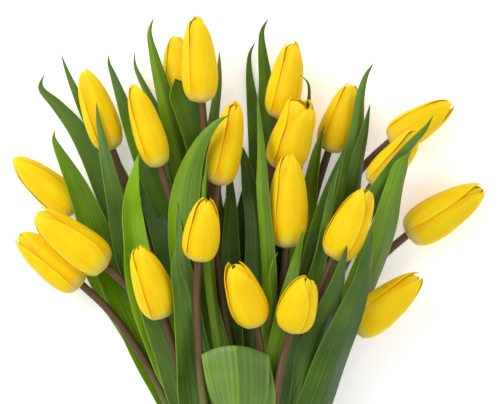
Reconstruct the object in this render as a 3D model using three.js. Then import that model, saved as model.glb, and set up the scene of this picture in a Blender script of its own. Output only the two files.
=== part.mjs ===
// A bunch of cut tulips lying on a table: 21 closed flowers on their stems, with the leaves that clasp them.
// Millimetres, +Z up. The flowers point along +Y, the cut ends lie towards -Y, and the table is at Z = 0.
// The flowers are laid down one after another, the lowest first. Each piece has its plan drawn, and its
// height follows from what already lies under it, so nothing passes through anything else.
import * as THREE from "three";

// Overall sizes
const FAN_WIDTH = 232; // across the bases of the outermost flowers
const FAN_REACH = 212; // from the neck of the bunch, at Y = 0, to the base of the furthest flower
const STEM_TAIL = 130; // from the neck down to the cut ends
const DRAWN_WIDTH = 232; // the fan that the plan places below are drawn for
const DRAWN_REACH = 212;

// Stems
const STEM_DIAMETER = 6.6;
const STEM_LAYERS = 3; // where the bunch is held together
const STEM_PITCH = 11.5; // between neighbouring stems of a layer, at their cut ends
const CUT_STAGGER = 5; // how unevenly the stems are trimmed
const CUT_BULGE = 0.4; // middle of a cut end, proud of its rim
const STEM_SIDES = 6;
const STEM_RINGS = 13;
const STEM_BEND = 90; // tightest radius that a stem takes up or down
const LOWER_HANDLE = 0.45; // how straight a stem leaves the bunch, as a share of its length
const UPPER_HANDLE = 0.2; // how straight it meets its flower

// Flowers
const FLOWER_GAP = 0.3; // between a stem's top and its flower
const FLOWER_SIDES = 9;
const FLOWER_RINGS = 8;
const FLOWER_BELLY = 0.62; // the lower, the nearer to its base a flower is widest
const FLOWER_LOBE = 0.06; // how far the three outer petals stand out, as a share of the radius

// Leaves
const LEAF_THICKNESS = 1.2; // at the midrib; the margins are sharp
const LEAF_STATIONS = 12;
const LEAF_BASE = 0.3; // width where a leaf clasps its stem, as a share of its widest
const LEAF_WIDEST = 0.35; // where a leaf is widest, as a share of its length from the clasp
const LEAF_CHANNEL = 0.14; // depth of the channel, as a share of half the width
const LEAF_LEAN = 32; // steepest that a leaf leans over
const LEAF_BEND = 45; // tightest radius that a leaf takes up or down
const LEAF_ROOT_GAP = 3; // least height between the two leaves of a pair where they join
const LEAF_TURN = 4; // how far the join reaches beyond them

// Laying down
const CLEARANCE = 0.4; // between a piece and what it lies on
const CELL = 1; // grid of the pile's height

const Z = new THREE.Vector3(0, 0, 1);
const radians = THREE.MathUtils.degToRad;
const clamp01 = (t) => Math.min(1, Math.max(0, t));
const smooth = (t) => THREE.MathUtils.smoothstep(t, 0, 1);

// A plan place, stretched with the fan. What lies below the neck keeps its distance from it.
const place = ([x, y]) =>
  new THREE.Vector3((x * FAN_WIDTH) / DRAWN_WIDTH, y > 0 ? (y * FAN_REACH) / DRAWN_REACH : y, 0);

// The tulips in the order in which they are laid. base is where the flower meets its stem, heading the way it
// points, clockwise from +Y, and tilt how far it looks up. turn sets which petal lies uppermost. under and over
// are pairs of leaves that clasp the stem at height clasp, laid just before or after it. A leaf's path starts
// at its tip, roll turns its right margin up, and rise lifts its tip.
const TULIPS = [
  {
    base: [-98, 178], heading: -20, length: 61, width: 24, tilt: 4, turn: 20,
    under: {
      clasp: 0,
      leaves: [
        { path: [[-146, 233], [-150, 225], [-143, 216], [-131, 203], [-119, 186], [-99, 143], [-70, 70]],
          width: 23, roll: -12, rise: 16 },
        { path: [[-135, 247], [-129, 230], [-115, 200], [-92, 155], [-60, 80]], width: 15, roll: 22, rise: 8 },
      ],
    },
  },
  { base: [-123, 135], heading: -50, length: 60, width: 24, tilt: 3, turn: 75 },
  {
    base: [-50, 212], heading: -4, length: 49, width: 23, tilt: 8, turn: 40,
    over: {
      clasp: 20,
      leaves: [
        { path: [[-83, 248], [-82, 237], [-77, 226], [-69, 208], [-61, 180], [-48, 120]],
          width: 14, roll: 24, rise: 10 },
        { path: [[-69, 272], [-72, 266], [-70, 251], [-64, 226], [-56, 196], [-45, 150], [-32, 90]],
          width: 18, roll: -14, rise: 12 },
      ],
    },
  },
  {
    base: [19, 200], heading: 11, length: 57, width: 24, tilt: 10, turn: 10,
    under: {
      clasp: 30,
      leaves: [
        { path: [[3, 256], [-1, 248], [-2, 236], [0, 214], [3, 185], [6, 120]], width: 14, roll: -20, rise: 6 },
        { path: [[12, 272], [8, 265], [7, 255], [9, 238], [11, 210], [14, 170], [12, 110]],
          width: 18, roll: 14, rise: 12 },
      ],
    },
  },
  { base: [97, 184], heading: 58, length: 53, width: 24, tilt: 6, turn: 95 },
  {
    base: [54, 177], heading: 20, length: 52, width: 24, tilt: 8, turn: 35,
    over: {
      clasp: 10,
      leaves: [
        { path: [[86, 240], [80, 230], [77, 218], [75, 200], [70, 172], [60, 130], [38, 70]],
          width: 17, roll: 18, rise: 14 },
        { path: [[83, 211], [80, 196], [76, 178], [72, 155], [64, 120], [44, 70]], width: 18, roll: -16, rise: 8 },
      ],
    },
  },
  {
    base: [-35, 211], heading: -4, length: 62, width: 25, tilt: 6, turn: -5,
    under: {
      clasp: 10,
      leaves: [
        { path: [[-54, 229], [-49, 216], [-43, 199], [-37, 178], [-28, 120]], width: 23, roll: 10, rise: 4,
          blunt: 0.75 },
        { path: [[-23, 250], [-23, 236], [-24, 218], [-28, 195], [-30, 165], [-24, 100]],
          width: 15, roll: -18, rise: 6 },
      ],
    },
  },
  { base: [109, 118], heading: 58, length: 65, width: 29, tilt: 4, turn: 60 },
  {
    base: [84, 153], heading: 41, length: 51, width: 22, tilt: 8, turn: 15,
    over: {
      clasp: -10,
      leaves: [
        { path: [[127, 203], [121, 193], [113, 184], [101, 169], [88, 150], [70, 115], [45, 60]],
          width: 18, roll: -16, rise: 6 },
        { path: [[107, 177], [103, 163], [98, 146], [91, 120], [80, 90], [62, 50], [44, 15]],
          width: 26, roll: 12, rise: 4, blunt: 0.3 },
      ],
    },
  },
  {
    base: [21, 164], heading: 17, length: 53, width: 29, tilt: 14, turn: 30,
    under: {
      clasp: 0,
      leaves: [
        { path: [[34, 231], [39, 229], [40, 219], [39, 203], [35, 180], [26, 120]], width: 9, roll: 20, rise: 8 },
        { path: [[51, 196], [48, 185], [45, 170], [41, 150], [36, 118], [26, 60]], width: 20, roll: 12, rise: 4 },
      ],
    },
  },
  {
    base: [-119, 83], heading: -52, length: 59, width: 27, tilt: 3, turn: 50,
    under: {
      clasp: -55,
      leaves: [
        { path: [[-126, 112], [-112, 91], [-97, 70], [-80, 48], [-66, 24], [-52, -5]],
          width: 26, roll: 10, rise: 0 },
        { path: [[-143, 193], [-137, 181], [-130, 167], [-119, 143], [-104, 106], [-82, 60], [-55, 0]],
          width: 29, roll: -12, rise: 12 },
      ],
    },
  },
  {
    base: [-64, 166], heading: -18, length: 62, width: 21, tilt: 6, turn: 65,
    under: {
      clasp: -20,
      leaves: [
        { path: [[-104, 246], [-98, 233], [-92, 216], [-82, 188], [-69, 156], [-55, 118], [-40, 60]],
          width: 20, roll: 20, rise: 10 },
        { path: [[-109, 212], [-107, 196], [-103, 176], [-96, 142], [-88, 98], [-62, 40]],
          width: 17, roll: -18, rise: 4 },
      ],
    },
  },
  { base: [-101, 96], heading: -53, length: 64, width: 29, tilt: 6, turn: 25 },
  {
    base: [-24, 153], heading: 12, length: 61, width: 23, tilt: 7, turn: 0,
    under: {
      clasp: -20,
      leaves: [
        { path: [[-12, 190], [-5, 172], [-1, 150], [2, 128], [3, 95], [0, 45]], width: 20, roll: -12, rise: 0 },
        { path: [[-16, 172], [-15, 143], [-15, 115], [-14, 80], [-12, 40]], width: 16, roll: 14, rise: 0 },
      ],
    },
    over: {
      clasp: -35,
      leaves: [
        { path: [[-19, 203], [-27, 194], [-36, 182], [-43, 165], [-47, 142], [-46, 110], [-34, 50]],
          width: 34, roll: 12, rise: 14 },
        { path: [[-31, 176], [-32, 160], [-33, 142], [-30, 105], [-24, 50]], width: 9, roll: -20, rise: 4 },
      ],
    },
  },
  {
    base: [24, 109], heading: 2, length: 67, width: 28, tilt: 5, turn: 12,
    over: {
      clasp: -30,
      leaves: [
        { path: [[4, 219], [5, 204], [6, 184], [7, 160], [10, 125], [12, 80], [10, 30]],
          width: 12, roll: 16, rise: 8 },
        { path: [[18, 107], [14, 98], [13, 88], [14, 74], [12, 45]], width: 9, roll: -24, rise: 10 },
      ],
    },
  },
  {
    base: [57, 102], heading: 26, length: 56, width: 27, tilt: 12, turn: 5,
    under: {
      clasp: -35,
      leaves: [
        { path: [[66, 183], [61, 167], [55, 150], [48, 125], [40, 92], [28, 40]], width: 19, roll: -16, rise: 8 },
        { path: [[61, 166], [56, 151], [53, 132], [49, 108], [40, 75], [28, 30]], width: 12, roll: 24, rise: 6 },
      ],
    },
  },
  {
    base: [71, 51], heading: 51, length: 62, width: 27, tilt: 4, turn: 80,
    over: {
      clasp: -60,
      leaves: [
        { path: [[66, 112], [62, 95], [56, 76], [47, 52], [38, 26], [28, -5], [22, -30]],
          width: 25, roll: -10, rise: 0 },
        { path: [[84, 122], [81, 106], [77, 88], [69, 66], [58, 38], [46, 4], [34, -25]],
          width: 27, roll: 10, rise: 4 },
      ],
    },
  },
  {
    base: [-61, 61], heading: -20, length: 56, width: 27, tilt: 16, turn: 28,
    under: {
      clasp: -55,
      leaves: [
        { path: [[-79, 176], [-82, 161], [-84, 140], [-82, 115], [-75, 80], [-56, 30], [-40, -10]],
          width: 27, roll: 10, rise: 6 },
        { path: [[-86, 106], [-79, 82], [-70, 60], [-61, 38], [-52, 10], [-42, -20]],
          width: 18, roll: -16, rise: 0 },
      ],
    },
  },
  {
    base: [-37, 101], heading: 8, length: 46, width: 25, tilt: 18, turn: 48,
    under: {
      clasp: -60,
      leaves: [
        { path: [[-52, 142], [-49, 112], [-44, 82], [-38, 50], [-32, 10]], width: 16, roll: 10, rise: 0 },
        { path: [[-52, 113], [-53, 98], [-50, 80], [-47, 56], [-45, 30], [-42, 0]],
          width: 19, roll: -14, rise: 8 },
      ],
    },
  },
  {
    base: [27, 53], heading: 17, length: 43, width: 27, tilt: 26, turn: 20,
    under: {
      clasp: -65,
      leaves: [
        { path: [[36, 124], [33, 110], [29, 94], [24, 72], [18, 40], [14, 0]], width: 15, roll: 16, rise: 6 },
        { path: [[35, 62], [29, 42], [23, 20], [19, -5], [16, -35]], width: 14, roll: -16, rise: 0 },
      ],
    },
  },
  {
    base: [3, 56], heading: -20, length: 50, width: 26, tilt: 22, turn: 70,
    over: {
      clasp: -75,
      folded: { rising: [[-11, 38], [-6, 5], [-2, -30]], falling: [[-8, 8], [-5, -22], [-2, -52]],
        width: 46, roll: 0 },
    },
  },
];

// Radius of a closed tulip flower along its length, from its base at 0 to its tip at 1, as a share of the widest.
const budRadius = (t) => Math.sqrt(Math.sin(Math.PI * Math.pow(t, FLOWER_BELLY)));

// Width of a leaf along its length, from its clasp at 0 to its tip at 1, as a share of the widest.
// blunt leaves that share of the width at the tip.
function leafWidth(t, blunt = 0) {
  const filling = LEAF_BASE + (1 - LEAF_BASE) * smooth(t / LEAF_WIDEST);
  const beyond = clamp01((t - LEAF_WIDEST) / (1 - LEAF_WIDEST));
  return filling * (blunt + (1 - blunt) * Math.pow(1 - Math.pow(beyond, 2.2), 0.9));
}

// The height of what already lies at each spot of the table.
class Pile {
  heights = new Map();

  key(x, y) {
    return Math.round(x / CELL) * 10000 + Math.round(y / CELL);
  }

  // The height that a piece has to keep above, looking one cell to every side.
  over(x, y) {
    let top = 0;
    for (const dx of [-CELL, 0, CELL])
      for (const dy of [-CELL, 0, CELL]) top = Math.max(top, this.heights.get(this.key(x + dx, y + dy)) ?? 0);
    return top > 0 ? top + CLEARANCE : 0;
  }

  lay(rings) {
    eachSpot(rings, (p) => {
      const k = this.key(p.x, p.y);
      this.heights.set(k, Math.max(this.heights.get(k) ?? 0, p.z));
    });
  }
}

// The two facets between successive rings a and b beside their point k. Every second pair is split along its
// other diagonal, so that the two faces of a thin leaf are split alike and never cross.
function facets(a, b, k, next) {
  if (k % 2) return [[a[k], b[k], b[next]], [a[k], b[next], a[next]]];
  return [[a[k], b[k], a[next]], [a[next], b[k], b[next]]];
}

// Calls visit(point, span) for points all over the facets between successive rings, closer than a grid cell.
function eachSpot(rings, visit) {
  const step = CELL * 0.75;
  for (let i = 0; i + 1 < rings.length; i++)
    rings[i].forEach((_, k) => {
      for (const [p, q, r] of facets(rings[i], rings[i + 1], k, (k + 1) % rings[i].length)) {
        const [toQ, toR] = [q.clone().sub(p), r.clone().sub(p)];
        const n = Math.ceil(Math.max(toQ.length(), toR.length(), q.distanceTo(r)) / step) || 1;
        for (let u = 0; u <= n; u++)
          for (let v = 0; u + v <= n; v++)
            visit(p.clone().addScaledVector(toQ, u / n).addScaledVector(toR, v / n), i);
      }
    });
}

// A ring of points round a station: each of the section's points is [across, up] from the centre.
function ring(centre, side, up, section) {
  return section.map(([u, v]) => centre.clone().addScaledVector(side, u).addScaledVector(up, v));
}

// The direction along a line of points at one of them.
function tangent(points, i) {
  const [a, b] = [points[Math.max(0, i - 1)], points[Math.min(points.length - 1, i + 1)]];
  return b.clone().sub(a).normalize();
}

// Heights for the stations of a piece, which has to lie at least as high as needed. It bends no more tightly
// than the radius bend, over humps and down into hollows alike. last, if given, is the least height of the last
// station, and slope is the rise there.
function restingHeights(points, needed, bend, last, slope = 0) {
  const along = [0];
  points.slice(1).forEach((p, i) => along.push(along[i] + Math.hypot(p.x - points[i].x, p.y - points[i].y)));
  const n = points.length;
  const h = along.map((s) => Math.max(...needed.map((c, j) => c - (s - along[j]) ** 2 / (2 * bend))));
  if (last !== undefined) {
    const step = (along[n - 1] - along[n - 2]) * slope;
    h[n - 1] = Math.max(h[n - 1], last, h[n - 2] + step);
    h[n - 2] = h[n - 1] - step;
  }
  const held = last === undefined ? n - 1 : n - 2;
  for (let pass = 0; pass < 400; pass++)
    for (let i = 1; i < held; i++) {
      const [before, after] = [along[i] - along[i - 1], along[i + 1] - along[i]];
      const straight = (h[i - 1] * after + h[i + 1] * before) / (before + after);
      h[i] = Math.max(h[i], straight - (before * after) / (2 * bend));
    }
  return h;
}

// The heights that the pile asks of each station, for the rings of a piece drawn flat at Z = 0.
function neededHeights(pile, rings) {
  const needed = rings.map(() => 0);
  eachSpot(rings, (p, i) => {
    const least = pile.over(p.x, p.y) - p.z;
    needed[i] = Math.max(needed[i], least);
    needed[i + 1] = Math.max(needed[i + 1], least);
  });
  return needed;
}

// A closed mesh through rings of equal size, with a point at each end.
function loft(name, material, first, rings, last) {
  const sides = rings[0].length;
  const points = [first, ...rings.flat(), last];
  const numbers = rings.map((_, i) => rings[i].map((_, k) => 1 + i * sides + k));
  const faces = [];
  for (let k = 0; k < sides; k++) {
    const next = (k + 1) % sides;
    faces.push(0, numbers[0][k], numbers[0][next]);
    for (let i = 0; i + 1 < rings.length; i++) faces.push(...facets(numbers[i], numbers[i + 1], k, next).flat());
    faces.push(points.length - 1, numbers[rings.length - 1][next], numbers[rings.length - 1][k]);
  }
  const geometry = new THREE.BufferGeometry().setFromPoints(points);
  geometry.setIndex(faces);
  geometry.computeVertexNormals();
  const mesh = new THREE.Mesh(geometry, material);
  mesh.name = name;
  return mesh;
}

const circle = (sides, radius) =>
  Array.from({ length: sides }, (_, k) => {
    const a = (2 * Math.PI * k) / sides;
    return [radius * Math.cos(a), radius * Math.sin(a)];
  });

// Sideways place of a cut end. A layer's stems lie side by side in the order of their flowers, and the next
// layer's lie in the hollows between them.
function cutPlace(index) {
  const perLayer = Math.ceil(TULIPS.length / STEM_LAYERS);
  const layer = Math.floor(index / perLayer);
  const fellows = TULIPS.slice(layer * perLayer, (layer + 1) * perLayer);
  const rank = fellows.filter((other) => other.base[0] < TULIPS[index].base[0]).length;
  return (rank - (fellows.length - 1) / 2 + (layer % 2 ? 0.25 : -0.25)) * STEM_PITCH;
}

// The stem's line in plan, from its cut end to its flower.
function stemLine({ base, heading }, index) {
  const top = place(base);
  const way = new THREE.Vector3(Math.sin(radians(heading)), Math.cos(radians(heading)), 0);
  const cut = new THREE.Vector3(cutPlace(index), -STEM_TAIL + CUT_STAGGER * Math.sin(index * 2.4), 0);
  const reach = cut.distanceTo(top);
  return new THREE.CubicBezierCurve3(
    cut,
    new THREE.Vector3(cut.x, cut.y + LOWER_HANDLE * reach, 0),
    top.clone().addScaledVector(way, -UPPER_HANDLE * reach),
    top,
  );
}

// Rings of a flower about its axis, from its base outwards.
function flowerRings(base, axis, { length, width, turn }) {
  const side = new THREE.Vector3().crossVectors(axis, Z).normalize();
  const up = new THREE.Vector3().crossVectors(side, axis);
  const section = (t) =>
    Array.from({ length: FLOWER_SIDES }, (_, k) => {
      const a = radians(turn) + (2 * Math.PI * k) / FLOWER_SIDES;
      const r = (width / 2) * budRadius(t) * (1 + FLOWER_LOBE * Math.cos(3 * (a - radians(turn))));
      return [r * Math.cos(a), r * Math.sin(a)];
    });
  return Array.from({ length: FLOWER_RINGS }, (_, i) => {
    const t = (1 - Math.cos((Math.PI * (i + 0.6)) / (FLOWER_RINGS + 0.2))) / 2;
    return ring(base.clone().addScaledVector(axis, t * length), side, up, section(t));
  });
}

// Lays a tulip on the pile: its stem, and its flower, which stays straight in line with the stem's end.
function layTulip(pile, tulip, index) {
  const line = stemLine(tulip, index);
  const points = line.getSpacedPoints(STEM_RINGS - 1);
  const tubeRings = (centres) =>
    centres.map((p, i) => {
      const t = tangent(centres, i);
      const side = new THREE.Vector3().crossVectors(t, Z).normalize();
      return ring(p, side, new THREE.Vector3().crossVectors(side, t), circle(STEM_SIDES, STEM_DIAMETER / 2));
    });
  const flat = line.getTangent(1);
  const tilt = radians(tulip.tilt);
  const axis = flat.clone().multiplyScalar(Math.cos(tilt)).addScaledVector(Z, Math.sin(tilt));
  const top = points[points.length - 1];
  let flowerHeight = 0;
  eachSpot(flowerRings(top, axis, tulip), (p) => {
    flowerHeight = Math.max(flowerHeight, pile.over(p.x, p.y) - p.z);
  });
  const needed = neededHeights(pile, tubeRings(points));
  restingHeights(points, needed, STEM_BEND, flowerHeight, Math.tan(tilt)).forEach((h, i) => (points[i].z = h));
  const stem = tubeRings(points);
  const flowerBase = top.clone().addScaledVector(axis, FLOWER_GAP);
  const flower = flowerRings(flowerBase, axis, tulip);
  pile.lay(stem);
  pile.lay(flower);
  const cutMiddle = points[0].clone().addScaledVector(tangent(points, 0), -CUT_BULGE);
  const tip = flowerBase.clone().addScaledVector(axis, tulip.length);
  const name = `tulip_${String(index + 1).padStart(2, "0")}`;
  return [
    loft(`${name}_stem`, STEM_GREEN, cutMiddle, stem, top),
    loft(`${name}_flower`, PETAL_YELLOW, flowerBase, flower, tip),
  ];
}

// The place on a stem's plan line at a given distance from the neck.
function onStem(line, y) {
  const near = line.getSpacedPoints(80).reduce((a, b) => (Math.abs(a.y - y) < Math.abs(b.y - y) ? a : b));
  return near.clone();
}

// Stations of a leaf along a plan path, closest together at its tip, from the end that t = 0 stands for.
function leafStations(path, { width, roll = 0, rise = 0, blunt = 0 }, from, to) {
  const curve = new THREE.CatmullRomCurve3(path, false, "centripetal");
  return Array.from({ length: LEAF_STATIONS }, (_, i) => {
    const t = 1 - Math.pow(1 - i / (LEAF_STATIONS - 1), 1.3);
    const grown = from + (to - from) * t;
    return {
      point: curve.getPointAt(t),
      halfWidth: Math.max(0.6, (width / 2) * leafWidth(grown, blunt)),
      roll: radians(roll) * smooth(grown * 1.4),
      lift: rise * Math.pow(grown, 4),
    };
  });
}

// The direction straight across a leaf that heads along t. It keeps pointing towards +X where the leaf doubles
// back on itself.
function acrossLeaf(t) {
  const side = new THREE.Vector3(t.y, -t.x, 0);
  if (side.length() < 0.2) return new THREE.Vector3(1, 0, 0);
  return side.normalize().multiplyScalar(Math.sign(side.x) || 1);
}

// Rings of a leaf through its stations. Each is the left margin, one side of the midrib, the right margin and its
// other side.
function leafRings(stations, channel) {
  const centres = stations.map((s) => s.point);
  return stations.map((s, i) => {
    const t = tangent(centres, i);
    const side = acrossLeaf(t);
    const facing = Math.sign(new THREE.Vector3().crossVectors(side, t).z);
    const across = side.clone().applyAxisAngle(t, s.turning ? 0 : -facing * s.roll);
    const normal = new THREE.Vector3().crossVectors(across, t).normalize();
    const upward = s.turning ? Z : normal.clone().multiplyScalar(facing);
    const midrib = s.point.clone().addScaledVector(upward, -channel * LEAF_CHANNEL * s.halfWidth);
    return [
      s.point.clone().addScaledVector(across, -s.halfWidth),
      midrib.clone().addScaledVector(normal, -LEAF_THICKNESS / 2),
      s.point.clone().addScaledVector(across, s.halfWidth),
      midrib.clone().addScaledVector(normal, LEAF_THICKNESS / 2),
    ];
  });
}

// Leans the stations of a leaf over, to lie along the slope of the pile beneath them. It stays level at its root.
function leanLeg(pile, stations, root) {
  const centres = stations.map((s) => s.point);
  const slopes = stations.map((s, i) => {
    const side = acrossLeaf(tangent(centres, i)).multiplyScalar(s.halfWidth);
    const [left, right] = [s.point.clone().sub(side), s.point.clone().add(side)];
    return Math.atan2(pile.over(right.x, right.y) - pile.over(left.x, left.y), 2 * s.halfWidth);
  });
  stations.forEach((s, i) => {
    const near = slopes.slice(Math.max(0, i - 2), i + 3);
    const lean = near.reduce((a, b) => a + b) / near.length;
    const most = radians(LEAF_LEAN);
    s.roll = THREE.MathUtils.clamp(s.roll + lean, -most, most) * smooth(Math.abs(i - root) / 4);
  });
}

// Sets the heights of one leg of a strap on the pile. least is the height that its end at the root has to reach.
function restLeg(pile, stations, channel, root, least = 0) {
  const needed = neededHeights(pile, leafRings(stations, channel));
  const end = stations[root];
  const beyond = { ...end, point: turnPlace(stations, root) };
  const turning = neededHeights(pile, leafRings([end, beyond], channel));
  needed[root] = Math.max(needed[root], least, ...turning);
  const h = restingHeights(stations.map((s) => s.point), needed, LEAF_BEND);
  stations.forEach((s, i) => (s.point.z = h[i] + s.lift));
}

// The plan place of the turn between a strap's legs, a little beyond their ends at the root.
function turnPlace(stations, root) {
  const inward = stations[root].point.clone().sub(stations[root === 0 ? 1 : root - 1].point).setZ(0);
  return stations[root].point.clone().addScaledVector(inward.normalize(), LEAF_TURN);
}

// A leaf or a pair of leaves as one strap of two legs, the second lying over the first and joined to its end
// by a tight turn. The strap's two ends are points.
function layStrap(pile, name, first, second, channel) {
  const tips = [first[0].point, second[second.length - 1].point];
  const [low, high] = [first[first.length - 1], second[0]];
  leanLeg(pile, first, first.length - 1);
  restLeg(pile, first, channel, first.length - 1);
  pile.lay(leafRings(first, channel));
  leanLeg(pile, second, 0);
  restLeg(pile, second, channel, 0, low.point.z + LEAF_ROOT_GAP);
  const turn = { ...low, turning: true, point: turnPlace(first, first.length - 1) };
  turn.point.z = (low.point.z + high.point.z) / 2;
  const rings = leafRings([...first, turn, ...second], channel);
  pile.lay(rings);
  return loft(name, LEAF_GREEN, tips[0], rings.slice(1, -1), tips[1]);
}

// Two leaves that clasp the same stem, joined where they meet.
function layPair(pile, name, { clasp, leaves }, line, channel) {
  const root = onStem(line, clasp);
  const [low, high] = leaves.map((leaf) => [...leaf.path.map(place), root.clone()]);
  const first = leafStations(low.reverse(), leaves[0], 0, 1).reverse();
  const second = leafStations(high.reverse(), leaves[1], 0, 1);
  return layStrap(pile, name, first, second, channel);
}

// One broad leaf that rises from its clasp and folds over, so that its outer half falls back on it.
function layFolded(pile, name, { clasp, folded }, line, channel) {
  const rising = [...folded.rising.map(place), onStem(line, clasp)].reverse();
  const falling = [folded.rising[0], ...folded.falling].map(place);
  const first = leafStations(rising, folded, 0, 0.5);
  const second = leafStations(falling, folded, 0.5, 1);
  return layStrap(pile, name, first, second, channel);
}

const PETAL_YELLOW = new THREE.MeshStandardMaterial({ color: 0xf6cc12, roughness: 0.42, metalness: 0 });
const STEM_GREEN = new THREE.MeshStandardMaterial({ color: 0x6b6a35, roughness: 0.5, metalness: 0 });
const LEAF_GREEN = new THREE.MeshStandardMaterial({ color: 0x3f7a27, roughness: 0.48, metalness: 0 });

const CHANNEL_UP = 1;
const CHANNEL_DOWN = -1;

const bunch = new THREE.Group();
const pile = new Pile();
TULIPS.forEach((tulip, index) => {
  const line = stemLine(tulip, index);
  const name = `tulip_${String(index + 1).padStart(2, "0")}`;
  if (tulip.under) bunch.add(layPair(pile, `${name}_leaves_under`, tulip.under, line, CHANNEL_UP));
  bunch.add(...layTulip(pile, tulip, index));
  if (tulip.over) {
    const lay = tulip.over.folded ? layFolded : layPair;
    bunch.add(lay(pile, `${name}_leaves_over`, tulip.over, line, CHANNEL_DOWN));
  }
});

// The origin is in the middle of the bunch's box, on the table.
const box = new THREE.Box3().setFromObject(bunch);
bunch.position.set(-(box.min.x + box.max.x) / 2, -(box.min.y + box.max.y) / 2, -box.min.z);

export default bunch;
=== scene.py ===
"""A bunch of yellow tulips lying on a table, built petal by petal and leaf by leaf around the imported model."""

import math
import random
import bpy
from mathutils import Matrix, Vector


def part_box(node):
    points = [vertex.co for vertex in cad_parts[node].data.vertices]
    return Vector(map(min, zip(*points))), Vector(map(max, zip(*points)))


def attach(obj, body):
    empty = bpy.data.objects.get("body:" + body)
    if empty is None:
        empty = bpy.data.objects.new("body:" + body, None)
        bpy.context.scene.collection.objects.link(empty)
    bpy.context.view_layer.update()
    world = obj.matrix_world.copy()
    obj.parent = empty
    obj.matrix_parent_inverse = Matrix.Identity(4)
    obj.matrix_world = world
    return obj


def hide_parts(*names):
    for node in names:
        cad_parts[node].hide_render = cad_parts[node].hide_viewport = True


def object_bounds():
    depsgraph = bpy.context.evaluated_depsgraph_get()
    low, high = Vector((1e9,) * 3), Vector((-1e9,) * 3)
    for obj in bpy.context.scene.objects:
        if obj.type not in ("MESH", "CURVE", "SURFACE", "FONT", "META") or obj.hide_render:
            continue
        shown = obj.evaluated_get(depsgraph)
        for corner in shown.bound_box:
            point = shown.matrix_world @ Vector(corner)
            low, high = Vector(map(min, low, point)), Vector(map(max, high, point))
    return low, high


bl_info = {
    "name": "Bunch of Tulips",
    "version": (1, 0, 0),
    "blender": (4, 5, 0),
    "location": "3D View > Sidebar > Tulips",
    "description": "Builds the petals, stems and leaves of a bunch of cut tulips",
    "category": "Add Mesh",
}

import bmesh
import bpy
from bpy.props import FloatProperty, FloatVectorProperty, IntProperty, PointerProperty
from mathutils import Vector, noise
from mathutils.bvhtree import BVHTree

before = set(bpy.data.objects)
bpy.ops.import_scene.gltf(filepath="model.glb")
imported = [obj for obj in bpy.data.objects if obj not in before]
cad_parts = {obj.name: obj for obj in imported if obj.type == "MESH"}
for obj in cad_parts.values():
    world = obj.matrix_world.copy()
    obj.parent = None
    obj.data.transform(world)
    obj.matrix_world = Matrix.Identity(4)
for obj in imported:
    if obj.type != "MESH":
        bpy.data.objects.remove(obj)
CAD_BOX = [list(corner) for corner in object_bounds()]

MM = 0.001
WELD = 2e-6
FLOWER_SIDES = 9
STEM_SIDES = 6
LEAF_SIDES = 4
PETALS = 6
OFF_FLOOR = 0.7  # lowest middle of a petal or leaf over the floor, as a share of its thickness
SHARP_EDGE = math.radians(55)

TULIPS = sorted({name.rsplit("_", 1)[0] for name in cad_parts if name.endswith("_flower")})
LEAF_PAIRS = sorted(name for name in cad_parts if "_leaves_" in name)
FOLDED = "tulip_21_leaves_over"


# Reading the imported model


def rings_of(node, sides):
    """The node's first end point, its rings of points in order along it, and its other end point."""
    bm = bmesh.new()
    bm.from_mesh(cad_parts[node].data)
    bmesh.ops.remove_doubles(bm, verts=bm.verts[:], dist=WELD)
    bm.verts.ensure_lookup_table()
    for start in bm.verts:
        layers = [[start]]
        seen = {start}
        while layers[-1]:
            ring = []
            for vert in layers[-1]:
                for edge in vert.link_edges:
                    other = edge.other_vert(vert)
                    if other not in seen:
                        seen.add(other)
                        ring.append(other)
            layers.append(ring)
        layers.pop()
        if len(layers[-1]) == 1 and all(len(ring) == sides for ring in layers[1:-1]):
            found = [[vert.co.copy() for vert in ring] for ring in layers]
            bm.free()
            return found[0][0], found[1:-1], found[-1][0]
    raise RuntimeError(f"{node} has no row of rings of {sides} points")


def middle(points):
    """The middle of some points."""
    return sum(points, Vector()) / len(points)


def smooth_at(row, share):
    """A value or point a share of the way through a row of them, on a smooth curve through them all."""
    span = min(max(share, 0.0), 1.0) * (len(row) - 1)
    i = min(int(span), len(row) - 2)
    f = span - i
    a, b, c, d = row[max(i - 1, 0)], row[i], row[i + 1], row[min(i + 2, len(row) - 1)]
    return (b * 2 + (c - a) * f + (a * 2 - b * 5 + c * 4 - d) * f**2 + (b * 3 - a - c * 3 + d) * f**3) * 0.5


def smoothstep(low, high, value):
    """0 below low, 1 above high, and smooth between."""
    t = min(max((value - low) / (high - low), 0.0), 1.0)
    return t * t * (3 - 2 * t)


# Making meshes


def sheet_of(across, along, place):
    """A grid of faces with each point put where place(side from -1 to 1, share along) says."""
    bm = bmesh.new()
    uv = bm.loops.layers.uv.new("UVMap")
    bmesh.ops.create_grid(bm, x_segments=across, y_segments=along, size=0.5)
    for face in bm.faces:
        for loop in face.loops:
            loop[uv].uv = (loop.vert.co.x + 0.5, loop.vert.co.y + 0.5)
    for vert in bm.verts:
        vert.co = place(vert.co.x * 2, vert.co.y + 0.5)
    bmesh.ops.remove_doubles(bm, verts=bm.verts[:], dist=WELD)
    return bm


def thicken(bm, thickness):
    """Gives a sheet its thickness, evenly to both sides."""
    bmesh.ops.recalc_face_normals(bm, faces=bm.faces[:])
    bm.normal_update()
    for vert in bm.verts:
        vert.co += vert.normal * thickness / 2
    bmesh.ops.solidify(bm, geom=bm.faces[:], thickness=thickness)


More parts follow.
